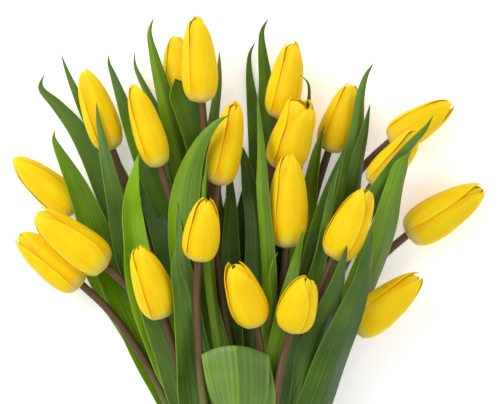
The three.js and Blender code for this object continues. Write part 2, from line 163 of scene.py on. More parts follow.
def finish_piece(bm, name, materials, nodes):
    """Turns a bmesh into a piece that rides on the bunch and stands for its nodes."""
    bmesh.ops.recalc_face_normals(bm, faces=bm.faces[:])
    if bm.calc_volume(signed=True) < 0:
        bmesh.ops.reverse_faces(bm, faces=bm.faces[:])
    for face in bm.faces:
        face.smooth = True
    for edge in bm.edges:
        edge.smooth = edge.calc_face_angle(0.0) < SHARP_EDGE
    mesh = bpy.data.meshes.new(name)
    bm.to_mesh(mesh)
    bm.free()
    for material in materials:
        mesh.materials.append(material)
    piece = bpy.data.objects.new(name, mesh)
    bpy.context.scene.collection.objects.link(piece)
    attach(piece, "root")
    if nodes:
        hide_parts(*nodes)
    return piece


# Materials


def new_material(name):
    """An empty node material with its shader."""
    material = bpy.data.materials.new(name)
    material.use_nodes = True
    tree = material.node_tree
    return material, tree, tree.nodes["Principled BSDF"]


def node(tree, kind, **inputs):
    """Adds a node. Names of its own settings are set on it, and the rest are its inputs, given by name or number."""
    made = tree.nodes.new(kind)
    for key, value in inputs.items():
        if hasattr(made, key):
            setattr(made, key, value)
            continue
        socket = made.inputs[int(key[1:])] if key[1:].isdigit() else made.inputs[key.replace("_", " ")]
        if isinstance(value, bpy.types.NodeSocket):
            tree.links.new(value, socket)
        else:
            socket.default_value = value
    return made


def maths(tree, operation, a, b=0.0):
    """A Math node's result."""
    return node(tree, "ShaderNodeMath", operation=operation, i0=a, i1=b).outputs[0]


def ramp(tree, factor, stops):
    """A colour ramp's colour. Stops are pairs of place and colour."""
    made = node(tree, "ShaderNodeValToRGB", Fac=factor)
    elements = made.color_ramp.elements
    while len(elements) < len(stops):
        elements.new(1.0)
    for element, (place, colour) in zip(elements, stops):
        element.position = place
        element.color = (*colour[:3], 1.0)
    return made.outputs["Color"]


def mix(tree, factor, first, second, blend="MIX"):
    """Two colours mixed."""
    made = tree.nodes.new("ShaderNodeMix")
    made.data_type = "RGBA"
    made.blend_type = blend
    for socket, value in ((made.inputs[0], factor), (made.inputs[6], first), (made.inputs[7], second)):
        if isinstance(value, bpy.types.NodeSocket):
            tree.links.new(value, socket)
        elif isinstance(value, (int, float)):
            socket.default_value = value
        else:
            socket.default_value = (*value[:3], 1.0)
    return made.outputs[2]


def sheet_coordinates(tree):
    """The share across a petal, leaf or stem, the share along it, and the two as a vector."""
    uv = node(tree, "ShaderNodeUVMap", uv_map="UVMap").outputs[0]
    parts = node(tree, "ShaderNodeSeparateXYZ", i0=uv)
    return parts.outputs["X"], parts.outputs["Y"], uv


def stretched_noise(tree, vector, scale, detail=2.0):
    """Noise stretched by a scale each way."""
    mapping = node(tree, "ShaderNodeMapping", Vector=vector)
    mapping.inputs["Scale"].default_value = scale
    made = node(tree, "ShaderNodeTexNoise", Vector=mapping.outputs[0], Scale=1.0, Detail=detail, Roughness=0.55)
    return made.outputs["Fac"]


def petal_material(name, settings, body_colour, deep_colour):
    """A waxy petal: fine lines along it, painted shade in deeper yellow down its middle crease and in warmer yellow
    along the margin that tucks under, a painted highlight in paler yellow along the other margin and tip, and
    greenish white where it joins the stem."""
    material, tree, shader = new_material(name)
    side, along, uv = sheet_coordinates(tree)
    place = node(tree, "ShaderNodeTexCoord").outputs["Object"]
    lines = stretched_noise(tree, uv, (46.0, 1.6, 1.0), 3.0)
    patches = stretched_noise(tree, place, (55.0, 55.0, 55.0), 1.0)
    off_middle = maths(tree, "ABSOLUTE", maths(tree, "SUBTRACT", side, 0.5))
    body = mix(tree, ramp(tree, patches, [(0.3, (0, 0, 0)), (0.7, (1, 1, 1))]), deep_colour, body_colour)
    # Painted shade: deep yellow darkens the petal's middle crease.
    crease_shade_mask = ramp(tree, off_middle, [(0.0, (0.7,) * 3), (0.09, (0.15,) * 3), (0.3, (0.0,) * 3)])
    crease_shaded = mix(tree, crease_shade_mask, body, deep_colour)
    lined = mix(tree, 0.26, crease_shaded, ramp(tree, lines, [(0.35, deep_colour), (0.62, settings.margin)]))
    # Painted highlight: paler yellow along the margin that lies over its neighbour and at the tip.
    margin = ramp(tree, side, [(0.92, (0.0,) * 3), (1.0, (0.45,) * 3)])
    # Painted shade: warm yellow along the margin that tucks under a neighbouring petal, where the seam lies in shade.
    tucked_shade_mask = ramp(tree, side, [(0.0, (0.75,) * 3), (0.07, (0.6,) * 3), (0.2, (0.0,) * 3)])
    seam_shaded = mix(tree, tucked_shade_mask, lined, settings.seam_shade)
    tip_highlight_mask = ramp(tree, along, [(0.8, (0.0,) * 3), (0.98, (0.5,) * 3)])
    edged = mix(tree, maths(tree, "MAXIMUM", margin, tip_highlight_mask), seam_shaded, settings.margin)
    foot = ramp(tree, along, [(0.0, (1.0,) * 3), (0.05, (0.6,) * 3), (0.16, (0.0,) * 3)])
    coloured = mix(tree, foot, edged, settings.foot)
    tree.links.new(coloured, shader.inputs["Base Color"])
    bump = node(tree, "ShaderNodeBump", Strength=0.22, Distance=0.0006, Height=lines)
    tree.links.new(bump.outputs[0], shader.inputs["Normal"])
    rough = node(tree, "ShaderNodeMapRange", i0=lines, i3=0.36, i4=0.52)
    tree.links.new(rough.outputs[0], shader.inputs["Roughness"])
    shader.inputs["Subsurface Weight"].default_value = 0.35
    shader.inputs["Subsurface Radius"].default_value = (0.9, 0.6, 0.1)
    shader.inputs["Subsurface Scale"].default_value = 0.003
    shader.inputs["Specular IOR Level"].default_value = 0.1
    return material


def stem_material(settings):
    """A stem that is purple-brown under the flower and green further down, with faint lines along it."""
    material, tree, shader = new_material("tulip_stem")
    side, along, uv = sheet_coordinates(tree)
    lines = stretched_noise(tree, uv, (18.0, 5.0, 1.0), 3.0)
    mottle = stretched_noise(tree, uv, (5.0, 26.0, 1.0), 2.0)
    shifted = maths(tree, "ADD", along, maths(tree, "MULTIPLY", maths(tree, "SUBTRACT", mottle, 0.5), 0.16))
    body = ramp(tree, shifted, [(0.0, settings.foot), (0.36, settings.green), (0.66, settings.brown)])
    lined = mix(tree, maths(tree, "MULTIPLY", lines, 0.22), body, settings.green)
    tree.links.new(lined, shader.inputs["Base Color"])
    bump = node(tree, "ShaderNodeBump", Strength=0.25, Distance=0.0004, Height=lines)
    tree.links.new(bump.outputs[0], shader.inputs["Normal"])
    rough = node(tree, "ShaderNodeMapRange", i0=mottle, i3=0.38, i4=0.55)
    tree.links.new(rough.outputs[0], shader.inputs["Roughness"])
    shader.inputs["Specular IOR Level"].default_value = 0.35
    return material


def cut_material(settings):
    """The wet pale inside of a stem at its cut, speckled with its vessels."""
    material, tree, shader = new_material("tulip_stem_cut")
    place = node(tree, "ShaderNodeTexCoord").outputs["Object"]
    specks = stretched_noise(tree, place, (1500.0, 1500.0, 1500.0), 1.0)
    colour = ramp(tree, specks, [(0.4, settings.green), (0.62, settings.cut)])
    tree.links.new(colour, shader.inputs["Base Color"])
    shader.inputs["Roughness"].default_value = 0.3
    return material


def leaf_material(name, dark, light, bloom, bloom_share, settings):
    """A leaf: parallel veins, one half darkened as painted shade, streaks of bloom up to bloom_share, a thin pale
    margin and a pale foot."""
    material, tree, shader = new_material(name)
    side, along, uv = sheet_coordinates(tree)
    place = node(tree, "ShaderNodeTexCoord").outputs["Object"]
    veins = stretched_noise(tree, uv, (58.0, 0.9, 1.0), 2.0)
    strands = stretched_noise(tree, uv, (17.0, 1.3, 1.0), 2.0)
    patches = stretched_noise(tree, place, (38.0, 38.0, 38.0), 2.0)
    off_middle = maths(tree, "ABSOLUTE", maths(tree, "SUBTRACT", side, 0.5))
    body = mix(tree, ramp(tree, patches, [(0.3, (0.1,) * 3), (0.7, (0.6,) * 3)]), dark, light)
    veined = mix(tree, ramp(tree, veins, [(0.4, (0.0,) * 3), (0.66, (0.42,) * 3)]), body, light)
    stranded = mix(tree, ramp(tree, strands, [(0.36, (0.5,) * 3), (0.6, (0.0,) * 3)]), veined, dark)
    cover = maths(tree, "MULTIPLY", ramp(tree, strands, [(0.3, (0.35,) * 3), (0.7, (1.0,) * 3)]), bloom_share)
    bloomed = mix(tree, cover, stranded, bloom)
    # Painted shade: one half of the leaf, past its midrib, is mixed towards dark green as if lit from the other side.
    painted_half_shade = mix(tree, ramp(tree, side, [(0.47, (0.0,) * 3), (0.52, (0.4,) * 3)]), bloomed, dark)
    rib = ramp(tree, off_middle, [(0.0, (0.3,) * 3), (0.03, (0.0,) * 3)])
    ribbed = mix(tree, rib, painted_half_shade, light)
    margin = ramp(tree, off_middle, [(0.47, (0.0,) * 3), (0.495, (0.5,) * 3)])
    edged = mix(tree, margin, ribbed, settings.margin)
    foot = ramp(tree, along, [(0.0, (0.8,) * 3), (0.12, (0.0,) * 3)])
    coloured = mix(tree, foot, edged, settings.foot)
    tree.links.new(coloured, shader.inputs["Base Color"])
    bump = node(tree, "ShaderNodeBump", Strength=0.35, Distance=0.0005, Height=veins)
    broad = node(tree, "ShaderNodeBump", Strength=0.3, Distance=0.0012, Height=strands, Normal=bump.outputs[0])
    tree.links.new(broad.outputs[0], shader.inputs["Normal"])
    rough = node(tree, "ShaderNodeMapRange", i0=strands, i3=0.3, i4=0.48)
    tree.links.new(rough.outputs[0], shader.inputs["Roughness"])
    shader.inputs["Subsurface Weight"].default_value = 0.06
    shader.inputs["Subsurface Radius"].default_value = (0.3, 0.7, 0.1)
    shader.inputs["Subsurface Scale"].default_value = 0.002
    shader.inputs["Specular IOR Level"].default_value = 0.3
    shader.inputs["Sheen Weight"].default_value = 0.04
    return material


def floor_material(settings):
    """A plain pale floor with the faintest of grain and a little light of its own."""
    material, tree, shader = new_material("studio_floor")
    place = node(tree, "ShaderNodeTexCoord").outputs["Object"]
    grain = stretched_noise(tree, place, (9.0, 9.0, 9.0), 2.0)
    pale = settings.floor
    colour = ramp(tree, grain, [(0.3, tuple(c * 0.985 for c in pale)), (0.7, pale)])
    tree.links.new(colour, shader.inputs["Base Color"])
    shader.inputs["Roughness"].default_value = 0.7
    shader.inputs["Emission Color"].default_value = (1.0, 1.0, 1.0, 1.0)
    shader.inputs["Emission Strength"].default_value = settings.glow
    return material


# Sizes and colours


def colour_property(name, description, default):
    """A colour with the given default."""
    return FloatVectorProperty(
        name=name, description=description, default=default, subtype="COLOR", size=3, min=0.0, max=1.0
    )


def length_property(name, description, millimetres):
    """A small length, given in millimetres."""
    return FloatProperty(
        name=name, description=description, default=millimetres * MM, unit="LENGTH", min=0.0, precision=5
    )


class TulipPetalSettings(bpy.types.PropertyGroup):
    """Petals."""

    thickness: length_property("Thickness", "Thickness of a petal", 0.4)
    outer_spread: FloatProperty(
        name="Outer Spread",
        description="How far round the flower an outer petal reaches to each side",
        default=math.radians(62),
        subtype="ANGLE",
    )
    inner_spread: FloatProperty(
        name="Inner Spread",
        description="How far round the flower an inner petal reaches to each side",
        default=math.radians(62),
        subtype="ANGLE",
    )
    inner_share: FloatProperty(
        name="Inner Radius", description="Radius of the inner petals, as a share of the flower's", default=0.925
    )
    thinnest: length_property("Thinnest", "Least radius of a flower, at its base and tip", 0.9)
    mouth: FloatProperty(
        name="Mouth", description="Radius at the petals' tips, as a share of the flower's", default=0.2
    )
    across: IntProperty(name="Faces Across", description="Faces across a petal", default=14, min=4)
    along: IntProperty(name="Faces Along", description="Faces along a petal", default=26, min=8)
    body: colour_property("Body", "Bright yellow of the petals", (1.0, 0.645, 0.0))
    # Besides its real lines and patches, this deep yellow paints shade in the middle crease and on the inner petals.
    deep_and_shade: colour_property("Deep", "Deeper yellow in lines and patches", (0.98, 0.53, 0.0))
    # Painted shade: this warm yellow shades the seams, on the inner petals and along the tucked margins.
    seam_shade: colour_property("Warm", "Warmest yellow, on inner petals and tucked margins", (0.96, 0.42, 0.0))
    # Painted highlight: this pale yellow also brightens the petals' outer margins and tips, besides the fine lines.
    margin: colour_property("Margin", "Pale yellow of the margins", (1.0, 0.77, 0.03))
    foot: colour_property("Foot", "Greenish white where the petals join the stem", (0.72, 0.66, 0.22))


class TulipStemSettings(bpy.types.PropertyGroup):
    """Stems."""

    sides: IntProperty(name="Sides", description="Faces round a stem", default=14, min=6)
    rings: IntProperty(name="Rings", description="Faces along a stem", default=64, min=12)
    into_flower: length_property("Into Flower", "How far a stem reaches past the base of its flower", 1.5)
    neck: FloatProperty(
        name="Neck", description="Radius under the flower, as a share of the radius at the cut", default=0.82
    )
    brown: colour_property("Brown", "Purple-brown under the flower", (0.098, 0.029, 0.021))
    green: colour_property("Green", "Green of the lower stem", (0.17, 0.26, 0.045))
    foot: colour_property("Foot", "Pale green near the cut", (0.42, 0.50, 0.20))
    cut: colour_property("Cut", "Pale inside of the stem at its cut", (0.66, 0.70, 0.42))


class TulipLeafSettings(bpy.types.PropertyGroup):
    """Leaves."""

    thickness: length_property("Thickness", "Thickness of a leaf", 0.55)
    ripple: length_property("Ripple", "How far the margins of a leaf wave up and down", 1.0)
    across: IntProperty(name="Faces Across", description="Faces across a leaf", default=12, min=4)
    along: IntProperty(name="Faces Along", description="Faces along a leaf", default=64, min=12)
    dark: colour_property("Dark", "Dark green", (0.017, 0.062, 0.002))
    middle: colour_property("Middle", "Middle green", (0.17, 0.355, 0.004))
    bright: colour_property("Bright", "Bright yellow-green", (0.27, 0.48, 0.002))
    grey: colour_property("Grey", "Grey-green bloom", (0.2, 0.335, 0.085))
    margin: colour_property("Margin", "Pale margin", (0.26, 0.42, 0.04))
    foot: colour_property("Foot", "Pale foot of a leaf", (0.50, 0.56, 0.28))


class TulipStageSettings(bpy.types.PropertyGroup):
    """Floor, lights and camera."""

    floor: colour_property("Floor", "Colour of the floor", (0.97, 0.97, 0.965))
    glow: FloatProperty(name="Floor Glow", description="Light that the floor gives of its own", default=0.3)
    camera_height: FloatProperty(
        name="Camera Height", description="Height of the camera over the floor", default=3.4, unit="LENGTH"
    )
    view_share: FloatProperty(
        name="View", description="Width of the view, as a share of the bunch's width", default=1.046
    )
    view_right: FloatProperty(
        name="View Middle", description="Middle of the view from the bunch's left, as a share of its width",
        default=0.504,
    )
    view_down: FloatProperty(
        name="View Down", description="Middle of the view below the highest flower, as a share of the width",
        default=0.391,
    )
    key_power: FloatProperty(name="Key Light", description="Power of the main light", default=17.5, unit="POWER")
    fill_power: FloatProperty(name="Fill Light", description="Power of the fill light", default=5.0, unit="POWER")
    sky: FloatProperty(name="Sky", description="Strength of the light from all round", default=0.66)


# Petals

# How far each flower's front petal is turned from facing straight up, in degrees to the right of the way it points.
TURNS = {
    "tulip_01": 25, "tulip_02": -25, "tulip_03": 0, "tulip_04": 30, "tulip_05": 0, "tulip_06": 25, "tulip_07": 28,
    "tulip_08": 52, "tulip_09": 30, "tulip_10": 32, "tulip_11": 45, "tulip_12": 20, "tulip_13": -25, "tulip_14": 50,
    "tulip_15": 25, "tulip_16": -25, "tulip_17": 20, "tulip_18": 25, "tulip_19": 15, "tulip_20": -25, "tulip_21": -10,
}

# How far the tips of some flowers' petals stand open, as a share of the flower's radius.
OPENNESS = {"tulip_10": 0.8, "tulip_13": 0.25, "tulip_21": 0.2, "tulip_09": 0.15, "tulip_16": 0.15}


class Flower:
    """Where one flower is, which way it points and how big it is. Its front is the side that faces up."""

    def __init__(self, tulip):
        first, rings, last = rings_of(f"{tulip}_flower", FLOWER_SIDES)
        stem_top = self.stem_top(tulip)
        if (first - stem_top).length > (last - stem_top).length:
            first, rings, last = last, rings[::-1], first
        self.base = first
        self.length = (last - first).length
        self.axis = (last - first).normalized()
        widest = max(rings, key=lambda ring: (ring[0] - middle(ring)).length)
        centre = middle(widest)
        up = Vector((0, 0, 1))
        self.front = (up - self.axis * up.dot(self.axis)).normalized()
        self.right = self.axis.cross(self.front)
        self.radius = sum((point - centre).length for point in widest) / len(widest)

    @staticmethod
    def stem_top(tulip):
        """The end of the tulip's stem that is nearer to its flower."""
        first, rings, last = rings_of(f"{tulip}_stem", STEM_SIDES)
        low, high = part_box(f"{tulip}_flower")
        heart = (Vector(low) + Vector(high)) / 2
        return min((first, last), key=lambda end: (end - heart).length)

    def point(self, angle, radius, height):
        """The point at an angle from the front of the flower, at a radius and a height from the base."""
        out = self.front * math.cos(angle) + self.right * math.sin(angle)
        return self.base + out * radius + self.axis * height


def flower_outline(share, mouth):
    """Radius of the flower's outline a share of the way up, as a share of its widest."""
    body = math.sqrt(max(math.sin(math.pi * min(share, 0.999) ** 0.62), 0.0))
    if share < 0.55:
        return body
    s = (share - 0.55) / 0.45
    shoulder = math.sqrt(math.sin(math.pi * 0.55**0.62))
    slope = 0.25 * s * (1 - s) ** 2
    return mouth + (shoulder - mouth) * max(1 - s**1.9, 0.0) ** 0.8 - slope


def petal_reach(share, blunt):
    """How far round its flower a petal reaches a share of the way up, as a share of its spread. A blunt petal keeps
    its width nearly to its tip."""
    foot = 0.8 + 0.2 * smoothstep(0.0, 0.3, share)
    if share < 0.5:
        return foot
    s = (share - 0.5) / 0.5
    return foot * max(1 - s ** (9.0 if blunt else 3.0), 0.0) ** 0.66


def make_petal(flower, name, settings, number, turn, open_share, dice, material):
    """One petal. The odd numbers are inner petals, which close the flower's tip and show between the outer ones."""
    inner = number % 2 == 1
    heading = math.radians(turn) + math.tau * number / PETALS + dice.uniform(-0.07, 0.07)
    spread = (settings.inner_spread if inner else settings.outer_spread) * dice.uniform(0.95, 1.03)
    layer = (settings.inner_share if inner else 1.0) * dice.uniform(0.975, 1.0)
    tall = flower.length * (dice.uniform(0.955, 0.995) if inner else dice.uniform(0.96, 1.01))
    mouth = settings.mouth * (0.12 if inner else dice.uniform(0.5, 1.05)) + open_share * dice.uniform(0.35, 0.75)
    twist = dice.uniform(-0.1, 0.1)
    lean = dice.uniform(-0.1, 0.1)
    seed = Vector((dice.uniform(0, 50), dice.uniform(0, 50), 0))

    def place(side, share):
        angle = heading + side * spread * petal_reach(share, inner) + twist * share**2
        side *= 1 - smoothstep(0.9, 1.0, share)
        angle += lean * side * side * share
        outline = flower_outline(share, mouth) * layer
        crease = math.exp(-((side / 0.16) ** 2)) * smoothstep(0.05, 0.3, share)
        proud = 0.055 * (1 - side * side) - 0.03 * crease + (0.0 if inner else 0.03 * side)
        lifted = 0.03 * abs(side) ** 5 * smoothstep(0.1, 0.6, share) * (1 - smoothstep(0.75, 0.98, share))
        ripple = 0.016 * noise.noise(seed + Vector((side * 1.6, share * 3.2, 0)))
        radius = flower.radius * (outline + (proud + lifted + ripple) * smoothstep(0.0, 0.15, share))
        ragged = 0.012 * noise.noise(seed + Vector((side * 7, 9, 0))) * smoothstep(0.86, 0.96, share)
        height = tall * (0.004 + 0.996 * share + ragged)
        point = flower.point(angle, max(radius, settings.thinnest), height)
        point.z = max(point.z, OFF_FLOOR * settings.thickness)
        return point

    bm = sheet_of(settings.across, settings.along, place)
    thicken(bm, settings.thickness)
    return finish_piece(bm, name, [material], [name.split("_petal_")[0] + "_flower"])


class TULIPS_OT_petals(bpy.types.Operator):
    """Build the petals of every flower"""

    bl_idname = "tulips.petals"
    bl_label = "Petals"

    def execute(self, context):
        settings = context.scene.tulip_petals
        outer = petal_material("tulip_petal_outer", settings, settings.body, settings.deep_and_shade)
        # Painted shade: the inner petals show only between the outer ones, so they take the deeper and warmer yellows
        # as their colour.
        inner = petal_material("tulip_petal_inner", settings, settings.deep_and_shade, settings.seam_shade)
        for tulip in TULIPS:
            dice = random.Random(tulip)
            flower = Flower(tulip)
            for number in range(PETALS):
                name = f"{tulip}_petal_{number + 1}"
                material = inner if number % 2 else outer
                openness = OPENNESS.get(tulip, 0.0)
                make_petal(flower, name, settings, number, TURNS[tulip], openness, dice, material)
        return {"FINISHED"}


# Stems


class TULIPS_OT_stems(bpy.types.Operator):
    """Build the stems, from their cut ends to their flowers"""

    bl_idname = "tulips.stems"
    bl_label = "Stems"

    def execute(self, context):
        settings = context.scene.tulip_stems
        materials = [stem_material(settings), cut_material(settings)]
        for tulip in TULIPS:
            self.build(tulip, settings, materials)
        return {"FINISHED"}

    def build(self, tulip, settings, materials):
        """One stem, swept along the middles of its solid's rings."""
        first, rings, last = rings_of(f"{tulip}_stem", STEM_SIDES)
        flower = Flower(tulip)
        centres = [middle(ring) for ring in rings]
        if (centres[0] - flower.base).length < (centres[-1] - flower.base).length:
            centres.reverse()
            rings.reverse()
        radius = (rings[0][0] - centres[0]).length
        centres.append(flower.base + flower.axis * settings.into_flower)
        dice = random.Random(tulip + "stem")
        drift = dice.uniform(0, 50)
        bm = bmesh.new()
        uv = bm.loops.layers.uv.new("UVMap")
        bmesh.ops.create_circle(bm, cap_ends=True, segments=settings.sides, radius=radius)
        loop_verts = bm.verts[:]
        rim = bm.edges[:]
        spokes = [(math.cos(a), math.sin(a)) for a in (math.tau * k / settings.sides for k in range(settings.sides))]
        cut = bm.faces[:]
        row_of = {vert: 0 for vert in loop_verts}
        spoke_of = {vert: k for k, vert in enumerate(loop_verts)}
        for row in range(settings.rings + 1):
            share = row / settings.rings
            here = smooth_at(centres, share)
            way = (smooth_at(centres, share + 0.01) - smooth_at(centres, share - 0.01)).normalized()
            side = way.cross(Vector((0, 0, 1))).normalized()
            up = side.cross(way)
            if row:
                made = bmesh.ops.extrude_edge_only(bm, edges=rim)["geom"]
                fresh = [item for item in made if isinstance(item, bmesh.types.BMVert)]
                edges = [item for item in made if isinstance(item, bmesh.types.BMEdge)]
                rim = [edge for edge in edges if all(vert in fresh for vert in edge.verts)]
                for vert in fresh:
                    near = [edge.other_vert(vert) for edge in vert.link_edges]
                    spoke_of[vert] = next(spoke_of[other] for other in near if row_of.get(other) == row - 1)
                    row_of[vert] = row
                loop_verts = fresh
            swell = 1 - (1 - settings.neck) * share + 0.05 * smoothstep(0.985, 1.0, share)
            swell += 0.03 * noise.noise(Vector((drift, share * 14, 0)))
            for vert in loop_verts:
                c, s = spokes[spoke_of[vert]]
                vert.co = here + (side * c + up * s) * radius * swell
                vert.co.z = max(vert.co.z, 0.0)
        bmesh.ops.contextual_create(bm, geom=rim)
        for face in bm.faces:
            for loop in face.loops:
                k = spoke_of[loop.vert]
                if k == 0 and any(spoke_of[v] == settings.sides - 1 for v in face.verts):
                    k = settings.sides
                loop[uv].uv = (k / settings.sides, row_of[loop.vert] / settings.rings)
        for face in cut:
            face.material_index = 1
        finish_piece(bm, f"{tulip}_stalk", materials, [f"{tulip}_stem"])


# Leaves

# How far the tips of some leaves hook over sideways, in millimetres.
HOOKS = {"tulip_11_leaf_under_b": 4, "tulip_12_leaf_under_b": 3, "tulip_14_leaf_over_b": 4, "tulip_09_leaf_over_a": 4}

# The greens of both leaves of some pairs, a and then b. The other pairs' are drawn by chance.
GREENS = {
    "tulip_11_leaves_under": ("bright", "fresh"),
    "tulip_18_leaves_under": ("bright", "grey"),
    "tulip_15_leaves_over": ("fresh", "fresh"),
    "tulip_19_leaves_under": ("middle", "grey"),
    "tulip_14_leaves_over": ("fresh", "fresh"),
    "tulip_21_leaves_over": ("light", "light"),
    "tulip_17_leaves_over": ("dark", "dark"),
    "tulip_14_leaves_under": ("dark", "dark"),
    "tulip_09_leaves_over": ("fresh", "middle"),
    "tulip_12_leaves_under": ("grey", "middle"),
    "tulip_01_leaves_under": ("middle", "grey"),
}

# Leaves deeper in the bunch: the two tulips that each grows between, how far it is from the first to the second,
# where it starts and ends along their stems, its width in millimetres and its green.
FILLERS = (
    (7, 14, 0.45, 0.35, 0.93, 15, "dark"),
    (14, 10, 0.45, 0.35, 1.0, 18, "dark"),
    (14, 4, 0.6, 0.3, 0.78, 13, "middle"),
    (12, 14, 0.35, 0.4, 0.92, 18, "dark"),
    (12, 3, 0.5, 0.35, 0.95, 13, "dark"),
    (1, 12, 0.62, 0.35, 1.0, 22, "dark"),
    (1, 12, 0.3, 0.35, 0.7, 16, "dark"),
    (19, 18, 0.4, 0.4, 1.0, 12, "dark"),
    (19, 21, 0.5, 0.35, 0.95, 13, "dark"),
    (21, 15, 0.4, 0.35, 0.8, 12, "middle"),
    (20, 16, 0.45, 0.35, 0.9, 13, "dark"),
    (10, 6, 0.5, 0.35, 0.85, 13, "dark"),
    (6, 9, 0.45, 0.35, 0.85, 12, "dark"),
    (17, 16, 0.5, 0.4, 0.95, 14, "dark"),
    (18, 13, 0.5, 0.4, 0.85, 12, "middle"),
    (20, 10, 0.35, 0.15, 0.62, 18, "dark"),
    (1, 12, 0.42, 0.45, 1.0, 20, "dark"),
    (14, 10, 0.2, 0.4, 1.0, 15, "dark"),
    (10, 6, 0.8, 0.4, 1.0, 15, "dark"),
    (6, 9, 0.6, 0.4, 1.0, 14, "dark"),
    (10, 4, 0.5, 0.35, 0.85, 16, "dark"),
    (15, 10, 0.5, 0.3, 0.75, 14, "middle"),
)
FILLER_STATIONS = 21
FILLER_RIPPLE = 0.3  # as a share of the other leaves'
FILLER_CHANNEL = 0.05  # depth, as a share of half the width

CHANNEL = 2.8  # how much deeper a leaf's channel is than its solid's
FOLD_RIPPLE = 0.5
FOLD_PLACE = 0.5  # where the folded leaf turns over, as a share of its length
FOLD_ARCH = 7 * MM  # how far its margins hang back there


class Station:
    """One place along a leaf: its two margins and its midrib."""

    def __init__(self, left, right, rib):
        self.left = left
        self.right = right
        self.rib = rib


def stations_of(pair):
    """The places along a strap of two leaves, from one tip to the other, and the number of the turn between them."""
    first, rings, last = rings_of(pair, LEAF_SIDES)
    turn = len(rings) // 2
    found = {}
    for i in [*range(turn, -1, -1), *range(turn + 1, len(rings))]:
        way = Vector((1, 0, 0))
        if i != turn:
            near = found[i + 1] if i < turn else found[i - 1]
            way = (near.right - near.left).normalized()
        ring = rings[i]
        ends = [(a, b) for n, a in enumerate(ring) for b in ring[n + 1 :]]
        left, right = max(ends, key=lambda pair_of: abs((pair_of[1] - pair_of[0]).dot(way)))
        if (right - left).dot(way) < 0:
            left, right = right, left
        rib = middle([point for point in ring if point is not left and point is not right])
        found[i] = Station(left, right, rib)
    row = [Station(first, first, first), *(found[i] for i in range(len(rings))), Station(last, last, last)]
    return row, turn + 1


def lengths_of(points):
    """How far along a row of points each one is, as a share of its whole length."""
    total = [0.0]
    for a, b in zip(points, points[1:]):
        total.append(total[-1] + (b - a).length)
    return [value / total[-1] for value in total]


def make_leaf(name, stations, settings, material, dice, nodes, ripple=1.0, fold=0.5, arch=0.0):
    """One leaf through its stations, from its root to its tip. Where it folds over, its margins hang back by arch."""
    hook = HOOKS.get(name, 0.0) * MM
    lefts = [s.left for s in stations]
    rights = [s.right for s in stations]
    ribs = [s.rib for s in stations]
    shares = lengths_of(ribs)
    seed = Vector((dice.uniform(0, 50), dice.uniform(0, 50), dice.uniform(0, 50)))
    waves = dice.uniform(2.0, 3.5)
    phase = dice.uniform(0, math.tau)

    def place(side, share):
        left, right, rib = smooth_at(lefts, share), smooth_at(rights, share), smooth_at(ribs, share)
        half = (right - left) / 2
        sag = ((left + right) / 2 - rib) * CHANNEL
        way = smooth_at(ribs, share + 0.02) - smooth_at(ribs, share - 0.02)
        normal = half.cross(way)
        if normal.length > 0:
            normal.normalize()
        if normal.z < 0 and not arch:
            normal.negate()
        margin = abs(side) ** 2.5 * smoothstep(0.1, 0.3, share) * (1 - smoothstep(0.8, 1.0, share))
        wave = math.sin(share * waves * math.tau + phase + (0.9 if side > 0 else 0.0))
        wave += 0.8 * noise.noise(seed + Vector((side * 1.1, share * 7, 0)))
        lift = settings.ripple * ripple * margin * wave
        fall = Vector((0.12 * side, -side * side, 0)) * arch * math.exp(-(((share - fold) / 0.2) ** 2))
        point = rib + half * side + sag * (abs(side) ** 1.25 - 0.4) + normal * lift + fall
        point.x += hook * smoothstep(0.9, 1.0, share) ** 2
        point.z = max(point.z, OFF_FLOOR * settings.thickness)
        return point

    bm = sheet_of(settings.across, settings.along, place)
    uv = bm.loops.layers.uv.active
    for face in bm.faces:
        for loop in face.loops:
            u, v = loop[uv].uv
            loop[uv].uv = (u, smooth_at(shares, v))
    thicken(bm, settings.thickness)
    return finish_piece(bm, name, [material], nodes)


def stem_line(tulip):
    """The middles of a stem's rings, from its cut to its flower."""
    first, rings, last = rings_of(f"{tulip}_stem", STEM_SIDES)
    centres = [middle(ring) for ring in rings]
    if centres[0].y > centres[-1].y:
        centres.reverse()
    return centres


